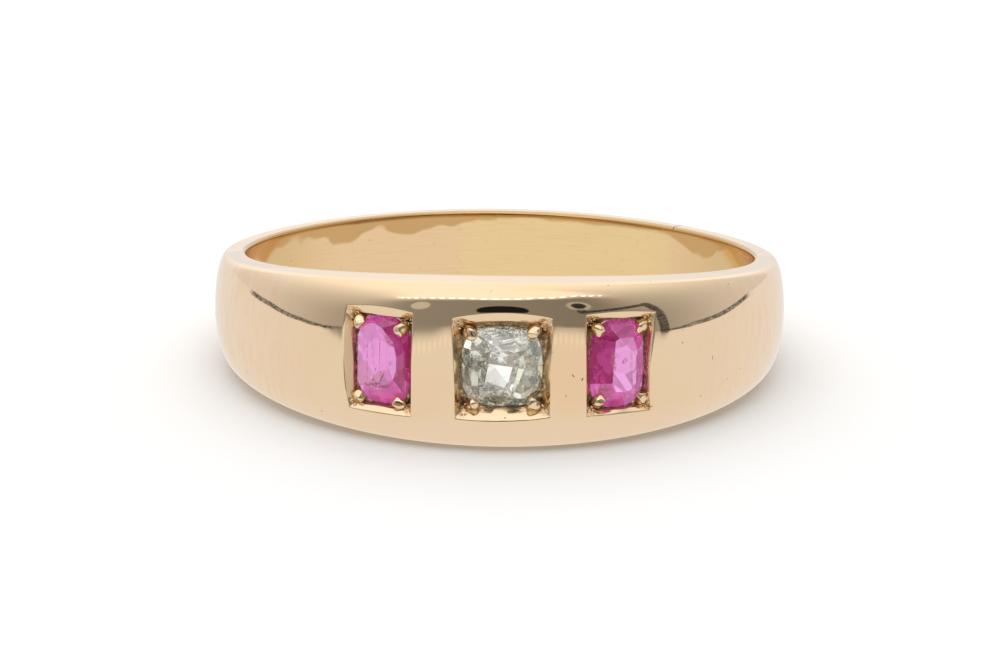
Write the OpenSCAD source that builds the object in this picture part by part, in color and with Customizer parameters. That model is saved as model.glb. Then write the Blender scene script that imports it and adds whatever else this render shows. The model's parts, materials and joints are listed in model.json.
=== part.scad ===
// A tapered gold band ring with three stones sunk into its front: a cushion
// diamond between two longer cushion rubies. The ring lies on its side, as it
// does by itself on a table, with its wide front facing -Y.

/* [Finger hole] */
// Radius of the hole that the finger goes through
bore_r = 9.2; // [7.5:0.1:11]
// Height and depth of the rounding along the hole's two edges
edge_ease = 0.15; // [0.1:0.01:0.25]

/* [Band] */
// Width of the band at the front, along the finger
front_w = 5.8; // [5.4:0.1:7]
// Width of the band at the back
back_w = 2.6; // [1.6:0.1:3.4]
// How fast the width falls away from the front
width_fall = 2.04; // [1.2:0.02:3]
// Thickness of the band at the front
front_t = 2; // [1.9:0.05:2.6]
// Thickness of the band at the back
back_t = 0.72; // [0.6:0.02:1.4]
// How fast the thickness falls away from the front
thick_fall = 1.9; // [1.2:0.05:3]
// Share of the thickness that the rounded shoulders take
shoulder = 0.37; // [0.25:0.01:0.5]
// Share of the front's width that is nearly flat, between the rounded shoulders
flat_share = 0.56; // [0.3:0.01:0.7]
// How fast that flat closes away from the front
flat_fall = 4.9; // [3:0.1:8]
// Rise of the nearly flat part in its middle
dome = 0.06; // [0.02:0.01:0.15]

/* [Diamond] */
// Width of the diamond around the ring
diamond_w = 2.78; // [2.4:0.02:2.9]
// Height of the diamond along the finger
diamond_h = 2.76; // [2.4:0.02:2.9]
// Height of its crown above the girdle
diamond_crown = 0.5; // [0.3:0.02:0.55]
// Depth of its pavilion below the girdle
diamond_pavilion = 1.15; // [0.9:0.05:1.2]
// Width of its table, as a share of the stone
diamond_table = 0.5; // [0.4:0.01:0.65]

/* [Rubies] */
// Width of a ruby around the ring
ruby_w = 2.05; // [1.8:0.02:2.1]
// Height of a ruby along the finger
ruby_h = 3.08; // [2.6:0.02:3.1]
// Height of its crown above the girdle
ruby_crown = 0.4; // [0.25:0.02:0.5]
// Depth of its pavilion below the girdle
ruby_pavilion = 1; // [0.7:0.05:1.1]
// Width of its table, as a share of the stone
ruby_table = 0.64; // [0.5:0.01:0.75]
// Angle around the ring from the diamond to the left ruby
left_angle = 22.6; // [21.5:0.1:26]
// Angle around the ring from the diamond to the right ruby
right_angle = 21.7; // [21.5:0.1:26]

/* [Settings] */
// Width of the bright cut around the diamond, at the band's surface
diamond_rim_w = 3.43; // [3.3:0.01:3.6]
// Height of the bright cut around the diamond
diamond_rim_h = 3.47; // [3.3:0.01:3.6]
// Width of the bright cut around a ruby
ruby_rim_w = 2.5; // [2.4:0.01:2.7]
// Height of the bright cut around a ruby
ruby_rim_h = 3.62; // [3.5:0.01:3.8]
// Depth of the recess floor below the band's surface
recess_d = 0.46; // [0.4:0.01:0.5]
// Depth of the stones' girdles below the band's surface
girdle_d = 0.52; // [0.5:0.01:0.6]
// Free space between a stone and the metal around it
stone_gap = 0.03; // [0.02:0.01:0.05]
// Radius of the grains that hold the stones
bead_r = 0.17; // [0.12:0.01:0.18]

/* [Hidden] */

// Steps around the band, across its outside, and around the hole
around = 96;
section_steps = 20;
bore_sides = 180;
// How far the band's blank runs inside the hole before the hole is bored
blank_in = 0.15;
// Roundness of the eased edges: 0.3 puts their middle point on a rounded corner
ease_round = 0.3;
// Squareness of the stones' outline, thickness of their girdles and size of their culets
cushion = 3.2;
girdle_t = 0.06;
culet = 0.06;
// Share of the crown below the star facets, and of the pavilion below the girdle facets
star_share = 0.55;
pavilion_share = 0.22;
// Size of the hole behind a stone at the finger side, as a share of the stone
light_share = 0.56;
// Drop of the domed band from the middle of a setting to its corners
rim_drop = 0.17;
// How far cutters reach past the metal, and the thickness of a cutter's end
cut_over = 0.5;
thin = 0.001;
// Place of a grain outside the stone's corner, sideways, lengthways and above the girdle
grain_out = [0.02, 0.06, 0.08];
// Place of a grain's root in from the rim, sideways, lengthways and below the recess floor
root_in = [0.02, 0.08, 0.12];
// Radius of a grain's root
root_r = 0.11;
// Halvings used to find the pose at rest, and the finest step along the section there
rest_rounds = 24;
rest_step = 0.02;

// Bend of a profile along the ring: 1 at the front, 0 at the back
function nearness(a) = (1 + cos(a)) / 2;
function half_w(a) = back_w / 2 + (front_w - back_w) / 2 * pow(nearness(a), width_fall);
function thick(a) = back_t + (front_t - back_t) * pow(nearness(a), thick_fall);
function flat(a) = flat_share * pow(nearness(a), flat_fall);
function rise(a) = dome * pow(nearness(a), width_fall);
function surface_r(a) = bore_r + thick(a);

// A point at a given radius, height and angle from the front
function ring_point(r, a, z) = [r * sin(a), -r * cos(a), z];

// The outside of the section, as radius and height, at u from -1 to 1: a slight dome
// over the whole width, and a quarter of an ellipse from the flat to each edge
function outside(a, u) =
    let (k = abs(sin(90 * u)),
         q = max(0, (k - flat(a)) / (1 - flat(a))),
         fall = rise(a) * k * k + (shoulder * thick(a) - rise(a)) * (1 - sqrt(max(0, 1 - q * q))))
    [surface_r(a) - fall, half_w(a) * sin(90 * u)];

// The eased inner edge run on inside the hole, as distance out from the hole and down from the top
inner_edge = [
    [edge_ease, 0],
    [ease_round * edge_ease, ease_round * edge_ease],
    [-blank_in, edge_ease + blank_in * (1 - ease_round) / ease_round]
];

// The closed section: the rounded outside, the upper inner edge, then the lower one
function section(a) = concat(
    [for (i = [0 : section_steps]) outside(a, 2 * i / section_steps - 1)],
    [for (p = inner_edge) [bore_r + p[0], half_w(a) - p[1]]],
    [for (i = [len(inner_edge) - 1 : -1 : 0]) [bore_r + inner_edge[i][0], inner_edge[i][1] - half_w(a)]]
);

// Lowest point of one half of the band once it leans back by an angle
function low(lean, front) = min([
    for (a = [0 : 360 / around : 90], u = [-1 : rest_step : -0.6])
    let (p = outside(front ? a : 180 - a, u))
    p[0] * cos(front ? a : 180 - a) * sin(lean) + p[1] * cos(lean)
]);

// The lean at which the front and the back of the band touch the table together
function settle(lo, hi, rounds) =
    let (lean = (lo + hi) / 2)
    rounds == 0 ? lean
    : low(lean, true) < low(lean, false) ? settle(lean, hi, rounds - 1) : settle(lo, lean, rounds - 1);

rest_lean = settle(0, 15, rest_rounds);
rest_height = -low(rest_lean, true);
front_reach = max([for (u = [-1 : rest_step : 1]) let (p = outside(0, u))
    p[0] * cos(rest_lean) - p[1] * sin(rest_lean)]);
back_reach = max([for (u = [-1 : rest_step : 1]) let (p = outside(180, u))
    p[0] * cos(rest_lean) + p[1] * sin(rest_lean)]);
centre_y = (front_reach - back_reach) / 2;

// Angle by which the band's face turns away beside the middle, from the fall of its thickness
function face_turn(a) = atan((thick(a - 1) - thick(a + 1)) / (surface_r(a) * PI / 90));

// Lays the ring on the table, leaning back, centred over the origin
module lay_down() {
    translate([0, centre_y, rest_height]) rotate([-rest_lean, 0, 0]) children();
}

// Puts its children on the band's face, with +Z outwards and +Y along the finger
module on_face(angle, depth = 0) {
    rotate([0, 0, angle]) translate([0, -surface_r(angle), 0]) rotate([0, 0, face_turn(angle)])
        rotate([90, 0, 0]) translate([0, 0, -depth]) children();
}

// Cushion outline of a stone, as the point at an angle and its outward direction
function outline(w, h, a) = [
    w / 2 * sign(cos(a)) * pow(abs(cos(a)), 2 / cushion),
    h / 2 * sign(sin(a)) * pow(abs(sin(a)), 2 / cushion)
];
function facing(w, h, a) =
    let (k = 2 - 2 / cushion,
         v = [sign(cos(a)) * pow(abs(cos(a)), k) / w, sign(sin(a)) * pow(abs(sin(a)), k) / h])
    v / norm(v);
function girdle_line(w, h, z) = [for (j = [0 : 15]) concat(outline(w, h, 22.5 * j), z)];

// Corner where main facets i and i + 1 meet, at a share of the way from the girdle
function facet_corner(w, h, i, inner, share, z) =
    let (p = outline(w, h, 45 * i) * (1 - share * (1 - inner)),
         q = outline(w, h, 45 * (i + 1)) * (1 - share * (1 - inner)),
         n = facing(w, h, 45 * i),
         m = facing(w, h, 45 * (i + 1)),
         d = n[0] * m[1] - n[1] * m[0])
    [(m[1] * (n * p) - n[1] * (m * q)) / d, (n[0] * (m * q) - m[0] * (n * p)) / d, z];

// A cushion-cut stone with its girdle at height 0: table, 8 star, 8 main and 16
// girdle facets on the crown, and 8 main and 16 girdle facets on the pavilion
module cut_stone(w, h, crown, pavilion, table) {
    up = girdle_t / 2;
    top_z = up + crown;
    low_z = -up - pavilion;
    star_z = up + crown * star_share;
    deep_z = low_z + pavilion * pavilion_share;
    points = concat(
        [for (i = [0 : 7]) concat(outline(w, h, 45 * i) * table, top_z)],
        [for (i = [0 : 7]) facet_corner(w, h, i, table, star_share, star_z)],
        girdle_line(w, h, up),
        girdle_line(w, h, -up),
        [for (i = [0 : 7]) facet_corner(w, h, i, culet, 1 - pavilion_share, deep_z)],
        [for (i = [0 : 7]) concat(outline(w, h, 45 * i) * culet, low_z)]
    );
    // Numbers of the points, ring by ring from the table down to the culet
    table_at = function (i) i % 8;
    star_at = function (i) 8 + i % 8;
    upper_at = function (j) 16 + j % 16;
    lower_at = function (j) 32 + j % 16;
    deep_at = function (i) 48 + i % 8;
    culet_at = function (i) 56 + i % 8;
    crown_faces = [for (i = [0 : 7]) each [
        [table_at(i), star_at(i), table_at(i + 1)],
        [table_at(i), star_at(i + 7), upper_at(2 * i), star_at(i)],
        [star_at(i), upper_at(2 * i), upper_at(2 * i + 1)],
        [star_at(i), upper_at(2 * i + 1), upper_at(2 * i + 2)]
    ]];
    girdle_faces = [for (j = [0 : 15]) [upper_at(j), lower_at(j), lower_at(j + 1), upper_at(j + 1)]];
    pavilion_faces = [for (i = [0 : 7]) each [
        [deep_at(i), lower_at(2 * i + 1), lower_at(2 * i)],
        [deep_at(i), lower_at(2 * i + 2), lower_at(2 * i + 1)],
        [culet_at(i), deep_at(i), lower_at(2 * i), deep_at(i + 7)],
        [culet_at(i), culet_at(i + 1), deep_at(i)]
    ]];
    caps = [[for (i = [0 : 7]) table_at(i)], [for (i = [7 : -1 : 0]) culet_at(i)]];
    outward = concat(crown_faces, girdle_faces, pavilion_faces, caps);
    polyhedron(points, [for (f = outward) [for (k = [len(f) - 1 : -1 : 0]) f[k]]], convexity = 2);
}

// Straight-sided wedge between two rectangles, each given by width, height and level
module wedge(w0, h0, z0, w1, h1, z1) {
    hull() {
        translate([0, 0, z0]) linear_extrude(thin) square([w0, h0], center = true);
        translate([0, 0, z1 - thin]) linear_extrude(thin) square([w1, h1], center = true);
    }
}

// Everything that is cut out of the band for one stone
module stone_cut(w, h, rim_w, rim_h) {
    floor_w = w + 2 * stone_gap;
    floor_h = h + 2 * stone_gap;
    flare = (cut_over + rim_drop) / (recess_d - rim_drop);
    wedge(floor_w, floor_h, -recess_d,
        rim_w + (rim_w - floor_w) * flare, rim_h + (rim_h - floor_h) * flare, cut_over);
    seat_z = -girdle_d - girdle_t / 2;
    seat = [for (p = girdle_line(w + 2 * stone_gap, h + 2 * stone_gap, 0)) [p[0], p[1]]];
    translate([0, 0, seat_z]) linear_extrude(girdle_d + girdle_t / 2) polygon(seat);
    hull() {
        translate([0, 0, seat_z - thin]) linear_extrude(2 * thin) polygon(seat);
        translate([0, 0, -front_t - cut_over]) linear_extrude(thin) polygon(seat * light_share);
    }
}

// The four raised grains over a stone's corners, each rooted in the recess wall
module grains(w, h, rim_w, rim_h) {
    grain = concat(outline(w, h, 45), girdle_t / 2 + bead_r - girdle_d) + grain_out;
    root = [rim_w / 2, rim_h / 2, -recess_d] - root_in;
    lean = root - grain;
    for (x = [0, 1], y = [0, 1])
        mirror([x, 0, 0]) mirror([0, y, 0]) translate(grain) {
            sphere(r = bead_r, $fn = 32);
            rotate([0, acos(lean[2] / norm(lean)), atan2(lean[1], lean[0])])
                cylinder(r1 = root_r, r2 = bead_r, h = norm(lean), $fn = 24);
        }
}

module band() {
    sections = [for (i = [0 : around - 1]) let (a = 360 * i / around)
        [for (p = section(a)) ring_point(p[0], a, p[1])]];
    n = len(sections[0]);
    points = [for (s = sections) each s];
    at = function (i, j) (i % around) * n + j % n;
    faces = [for (i = [0 : around - 1], j = [0 : n - 1]) each [
        [at(i, j), at(i, j + 1), at(i + 1, j)],
        [at(i + 1, j), at(i, j + 1), at(i + 1, j + 1)]
    ]];
    color([0.88, 0.74, 0.56]) lay_down() {
        difference() {
            polyhedron(points, faces, convexity = 4);
            translate([0, 0, -front_w]) cylinder(r = bore_r, h = 2 * front_w, $fn = bore_sides);
            on_face(0) stone_cut(diamond_w, diamond_h, diamond_rim_w, diamond_rim_h);
            for (angle = [-left_angle, right_angle])
                on_face(angle) stone_cut(ruby_w, ruby_h, ruby_rim_w, ruby_rim_h);
        }
        on_face(0) grains(diamond_w, diamond_h, diamond_rim_w, diamond_rim_h);
        for (angle = [-left_angle, right_angle])
            on_face(angle) grains(ruby_w, ruby_h, ruby_rim_w, ruby_rim_h);
    }
}

module ruby(angle) {
    color([0.78, 0.2, 0.5]) lay_down() on_face(angle, girdle_d)
        cut_stone(ruby_w, ruby_h, ruby_crown, ruby_pavilion, ruby_table);
}

module ruby_left() {
    ruby(-left_angle);
}

module ruby_right() {
    ruby(right_angle);
}

module diamond() {
    color([0.82, 0.84, 0.8]) lay_down() on_face(0, girdle_d)
        cut_stone(diamond_w, diamond_h, diamond_crown, diamond_pavilion, diamond_table);
}

band();
diamond();
ruby_left();
ruby_right();
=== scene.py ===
"""A three-stone gold ring: a tapered band with a cushion diamond between two cushion rubies.

Lengths inside the classes are millimetres in the ring's own frame: the finger hole runs along Z, the
wide front faces -Y and +X is to the right. Lying.place turns them into metres in the shared frame.
"""

import json
import logging
import math
from dataclasses import dataclass
from enum import Enum

import bmesh
import bpy
import numpy as np
from mathutils import Matrix, Vector


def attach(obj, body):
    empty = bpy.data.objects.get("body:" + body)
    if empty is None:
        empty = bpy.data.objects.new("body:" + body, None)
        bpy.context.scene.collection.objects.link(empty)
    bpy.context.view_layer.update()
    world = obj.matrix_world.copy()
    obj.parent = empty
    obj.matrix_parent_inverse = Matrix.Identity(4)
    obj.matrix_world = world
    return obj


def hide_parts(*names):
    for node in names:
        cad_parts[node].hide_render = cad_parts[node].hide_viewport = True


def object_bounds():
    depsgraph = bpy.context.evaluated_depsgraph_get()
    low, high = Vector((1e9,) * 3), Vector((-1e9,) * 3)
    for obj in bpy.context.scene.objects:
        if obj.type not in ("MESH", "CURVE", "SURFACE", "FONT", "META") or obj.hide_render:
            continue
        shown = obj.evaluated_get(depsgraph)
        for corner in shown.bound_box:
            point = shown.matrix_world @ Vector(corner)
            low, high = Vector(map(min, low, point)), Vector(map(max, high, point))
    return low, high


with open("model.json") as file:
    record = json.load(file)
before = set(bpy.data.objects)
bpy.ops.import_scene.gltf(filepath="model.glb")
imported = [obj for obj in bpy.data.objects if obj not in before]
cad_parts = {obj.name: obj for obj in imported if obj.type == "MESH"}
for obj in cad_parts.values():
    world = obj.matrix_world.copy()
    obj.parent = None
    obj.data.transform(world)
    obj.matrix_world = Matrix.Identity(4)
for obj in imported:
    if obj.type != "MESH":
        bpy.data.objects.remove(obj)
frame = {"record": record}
cad_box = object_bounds()

MM = 0.001
BODY = "root"
log = logging.getLogger("ring")


class Slot(Enum):
    """Material slots of the record."""

    GOLD = "gold"
    DIAMOND = "diamond"
    RUBY = "ruby"


def smooth(value: np.ndarray, low: float, high: float) -> np.ndarray:
    """Rises smoothly from 0 at low to 1 at high, as 3t squared less 2t cubed.

    Args:
        value: Numbers to map.
        low: Where the rise starts.
        high: Where it ends.

    Returns:
        Shares from 0 to 1.
    """
    t = np.clip((value - low) / (high - low), 0, 1)
    return t * t * (3 - 2 * t)


def cushion_side(width: float, height: float, across: np.ndarray, power: float) -> np.ndarray:
    """Height of a cushion outline over a place across it.

    The outline is the curve where |2x/width| and |2y/height|, each raised to the power, add up to 1.

    Args:
        width: Width of the outline.
        height: Height of the outline.
        across: Places across, from -width/2 to width/2.
        power: Squareness, 2 for an ellipse.

    Returns:
        Heights above the middle line.
    """
    return height / 2 * (1 - np.abs(2 * across / width) ** power) ** (1 / power)


@dataclass(frozen=True)
class Lying:
    """How the ring lies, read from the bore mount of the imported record."""

    centre: Vector
    lean: float

    @classmethod
    def from_record(cls, record: dict) -> "Lying":
        """Reads the finger hole's centre and axis.

        Args:
            record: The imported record.

        Returns:
            The ring's place, with its centre in metres and its lean in radians.
        """
        hole = next(m for m in record["mounts"] if m["name"] == "finger_hole")
        axis = hole["axis"]
        return cls(Vector(hole["pos_m"]), math.atan2(axis[1], axis[2]))

    def matrix(self) -> Matrix:
        """Turns ring coordinates in metres into the shared frame."""
        return Matrix.Translation(self.centre) @ Matrix.Rotation(-self.lean, 4, "X")

    def place(self, points: np.ndarray) -> np.ndarray:
        """Moves points from the ring's frame in millimetres to the shared frame in metres.

        Args:
            points: An array with three columns.

        Returns:
            The placed points, of the same shape.
        """
        matrix = np.array(self.matrix())
        return points * MM @ matrix[:3, :3].T + matrix[:3, 3]


@dataclass(frozen=True)
class BandForm:
    """Sizes of the band and the formulas of its outside, the same as the part's own."""

    bore_r: float = 9.2
    edge_ease: float = 0.15
    front_w: float = 5.8
    back_w: float = 2.6
    width_fall: float = 2.04
    front_t: float = 2.0
    back_t: float = 0.72
    thick_fall: float = 1.9
    shoulder: float = 0.37
    flat_share: float = 0.56
    flat_fall: float = 4.9
    dome: float = 0.06
    wave: float = 0.0016

    def nearness(self, angle: np.ndarray) -> np.ndarray:
        """1 at the front and 0 at the back, as half of 1 plus the cosine."""
        return (1 + np.cos(angle)) / 2

    def half_width(self, angle: np.ndarray) -> np.ndarray:
        """Half the band's width along the finger."""
        return self.back_w / 2 + (self.front_w - self.back_w) / 2 * self.nearness(angle) ** self.width_fall

    def thickness(self, angle: np.ndarray) -> np.ndarray:
        """The band's thickness in the middle of its width."""
        return self.back_t + (self.front_t - self.back_t) * self.nearness(angle) ** self.thick_fall

    def outside(self, angle: np.ndarray, share: np.ndarray) -> np.ndarray:
        """Points on the outside of the band.

        The radius is the bore and the thickness, less a slight dome over the width and, past the nearly
        flat middle, less a quarter of an ellipse down to the edge. A faint wave is the hand of the maker.

        Args:
            angle: Angles around from the front, in radians.
            share: Places over the width, from -1 at the lower edge to 1 at the upper one.

        Returns:
            The points, in a last axis of three.
        """
        near = self.nearness(angle)
        flat = self.flat_share * near ** self.flat_fall
        rise = self.dome * near ** self.width_fall
        reach = np.abs(share)
        past = np.clip((reach - flat) / (1 - flat), 0, 1)
        drop = self.shoulder * self.thickness(angle) - rise
        fall = rise * reach ** 2 + drop * (1 - np.sqrt(1 - past ** 2))
        wave = np.sin(11 * angle + 3 * share) + 0.7 * np.sin(19 * angle - 5 * share + 1) * np.cos(7 * angle)
        radius = self.bore_r + self.thickness(angle) - fall + self.wave * wave * (1 - reach ** 4)
        level = self.half_width(angle) * share
        return np.stack([radius * np.sin(angle), -radius * np.cos(angle), level], -1)


class Skin:
    """Gathers points, faces and one value for each point of one mesh: tarnish with painted shade above 0, a
    painted highlight below 0.
    """

    def __init__(self) -> None:
        """Starts empty."""
        self.points: list[np.ndarray] = []
        self.grime_and_painted_light: list[np.ndarray] = []
        self.faces: list[np.ndarray] = []
        self.count = 0

    def add(self, points: np.ndarray, grime_and_painted_light: np.ndarray | float = 0.0) -> np.ndarray:
        """Adds points.

        Args:
            points: An array whose last axis is x, y, z.
            grime_and_painted_light: Tarnish with painted shade, from 0 for none to 1 for black. Below 0 it is
                a painted highlight on a bevel.

        Returns:
            The points' numbers, in the shape of the array without its last axis.
        """
        shape = points.shape[:-1]
        numbers = self.count + np.arange(int(np.prod(shape))).reshape(shape)
        self.points.append(points.reshape(-1, 3))
        self.grime_and_painted_light.append(np.broadcast_to(grime_and_painted_light, shape).ravel())
        self.count += numbers.size
        return numbers

    def quads(self, lower: np.ndarray, upper: np.ndarray) -> None:
        """Joins two rows of the same length by quads, in the order lower, next lower, next upper, upper."""
        sides = [lower[..., :-1], lower[..., 1:], upper[..., 1:], upper[..., :-1]]
        self.faces.append(np.stack(sides, -1).reshape(-1, 4))

    def sleeve(self, loops: np.ndarray) -> None:
        """Joins each closed loop to the next one, with the first point of a loop repeated at its end."""
        closed = np.concatenate([loops, loops[:, :1]], 1)
        self.quads(closed[:-1], closed[1:])

    def zip_loops(self, inner: np.ndarray, outer: np.ndarray, inner_at: np.ndarray,
                  outer_at: np.ndarray) -> None:
        """Joins two closed loops of different lengths by triangles.

        Each step goes on along the loop whose next place comes first, so both are walked round once.

        Args:
            inner: Point numbers of the first loop.
            outer: Point numbers of the second loop.
            inner_at: Places of the first loop's points, rising from 0 to under 1.
            outer_at: Places of the second loop's points, rising from 0 to under 1.
        """
        ends = np.concatenate([np.append(inner_at[1:], 1), np.append(outer_at[1:], 1)])
        on_inner = np.concatenate([np.ones(len(inner), bool), np.zeros(len(outer), bool)])
        order = np.argsort(ends, kind="stable")
        step = on_inner[order]
        i = np.cumsum(step) - step
        j = np.cumsum(~step) - ~step
        a, b = inner[i % len(inner)], outer[j % len(outer)]
        tip = np.where(step, inner[(i + 1) % len(inner)], outer[(j + 1) % len(outer)])
        self.faces.append(np.stack([a, tip, b], -1))

    def mesh(self, name: str, lying: Lying) -> bpy.types.Object:
        """Makes the object, without points that no face uses.

        Args:
            name: Name of the piece.
            lying: Where the ring lies.

        Returns:
            The new object, linked to the scene.
        """
        used = np.unique(np.concatenate([f.ravel() for f in self.faces]))
        renumber = np.zeros(self.count, int)
        renumber[used] = np.arange(len(used))
        points = lying.place(np.concatenate(self.points)[used])
        faces = [f for block in self.faces for f in renumber[block].tolist()]
        data = bpy.data.meshes.new(name)
        data.from_pydata(points.tolist(), [], faces)
        grime_and_painted_light = data.attributes.new("grime_and_painted_light", "FLOAT", "POINT")
        grime_and_painted_light.data.foreach_set("value", np.concatenate(self.grime_and_painted_light)[used].astype(np.float32))
        piece = bpy.data.objects.new(name, data)
        bpy.context.scene.collection.objects.link(piece)
        return piece


@dataclass(frozen=True)
class Side:
    """One value for each side of a setting: bottom, right, top and left."""

    bottom: float
    right: float
    top: float
    left: float

    def row(self) -> np.ndarray:
        """The four values in the order in which a loop passes them."""
        return np.array([self.bottom, self.right, self.top, self.left])


@dataclass(frozen=True)
class Setting:
    """One square-cornered recess with its stone's outline and its grains, in the band's face.

    Places are (across, along) on the face from the middle of the setting.
    """

    name: str
    angle_deg: float
    stone_w: float
    stone_h: float
    corners: tuple[tuple[float, float], ...]
    bow: Side
    bevel: Side
    beads: tuple[tuple[float, float], ...]
    patch_deg: float
    bead_r: float
    shift: tuple[float, float] = (0.0, 0.0)
    power: float = 3.2
    gap: float = 0.03
    floor_d: float = 0.46
    girdle_d: float = 0.55
    slope: Side = Side(0.85, 1.1, 0.42, 1.1)
    light_share: float = 0.673
    # Painted light on each side's bevel: painted shade above 0, a painted highlight below 0.
    grime_and_painted_light: Side = Side(0.06, 0.2, 0.06, 0.2)

    def turn(self, form: BandForm) -> float:
        """Angle by which the face turns away, from the fall of the band's thickness."""
        angle, step = math.radians(self.angle_deg), math.radians(1)
        fall = form.thickness(angle - step) - form.thickness(angle + step)
        return math.atan(fall / ((form.bore_r + form.thickness(angle)) * 2 * step))

    def axes(self, form: BandForm) -> tuple[np.ndarray, np.ndarray, np.ndarray, np.ndarray]:
        """Middle of the setting on the face, and its directions across, along and outward."""
        angle = math.radians(self.angle_deg)
        radius = form.bore_r + form.thickness(angle)
        origin = np.array([radius * math.sin(angle), -radius * math.cos(angle), 0])
        turned = angle + self.turn(form)
        across = np.array([math.cos(turned), math.sin(turned), 0])
        outward = np.array([math.sin(turned), -math.cos(turned), 0])
        return origin, across, np.array([0, 0, 1.0]), outward

    def to_ring(self, form: BandForm, local: np.ndarray) -> np.ndarray:
        """Turns (across, along, outward) into the ring's frame."""
        origin, across, along, outward = self.axes(form)
        return origin + local[..., :1] * across + local[..., 1:2] * along + local[..., 2:] * outward

    def to_local(self, form: BandForm, points: np.ndarray) -> np.ndarray:
        """Turns points of the ring's frame into (across, along, outward)."""
        origin, *axes = self.axes(form)
        return (points - origin) @ np.stack(axes, -1)

    def on_face(self, form: BandForm, flat: np.ndarray) -> np.ndarray:
        """Lifts places (across, along) onto the band's outside, by stepping round until across agrees.

        Args:
            form: The band.
            flat: Places, with two columns.

        Returns:
            The local points, with three columns.
        """
        angle = np.full(flat.shape[:-1], math.radians(self.angle_deg))
        for _ in range(8):
            local = self.to_local(form, form.outside(angle, flat[..., 1] / form.half_width(angle)))
            angle = angle + (flat[..., 0] - local[..., 0]) / form.bore_r
        return self.to_local(form, form.outside(angle, flat[..., 1] / form.half_width(angle)))


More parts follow.
